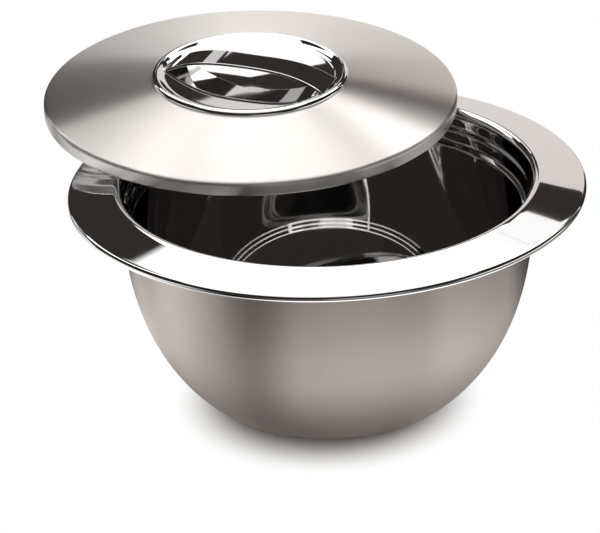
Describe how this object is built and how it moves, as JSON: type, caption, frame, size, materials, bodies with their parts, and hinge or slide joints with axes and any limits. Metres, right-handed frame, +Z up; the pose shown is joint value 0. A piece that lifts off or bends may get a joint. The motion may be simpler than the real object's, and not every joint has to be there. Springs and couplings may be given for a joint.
{
  "type": "insulated bowl with lid",
  "caption": "Double-walled stainless steel serving bowl with a wide mirror-polished flange, and its double-walled lid with a strap handle, set down off centre on the rim.",
  "frame": {"origin": "centre of the bowl's flat base, on the table", "axes": "+Z up along the bowl's axis, +Y away from the side that is seen, towards the back of the rim where the lid lies, +X to the right"},
  "size_m": [0.2864, 0.3363, 0.153],
  "materials": {
    "polished_steel": "mirror-polished stainless steel",
    "satin_steel": "satin, brushed round the bowl",
    "brushed_lid_steel": "fine circular brushing",
    "lid_pan_steel": "bright drawn sheet"
  },
  "bodies": {
    "bowl": {"inner_bowl": "polished_steel", "outer_shell": "satin_steel"},
    "lid": {"lid_top": "brushed_lid_steel", "lid_boss": "polished_steel", "lid_handle": "polished_steel", "lid_pan": "lid_pan_steel"}
  },
  "joints": [
    {"name": "lid_lift", "type": "slide", "parent": "bowl", "child": "lid", "axis": [0, 0, 1], "range_m": [0, 0.15]}
  ]
}
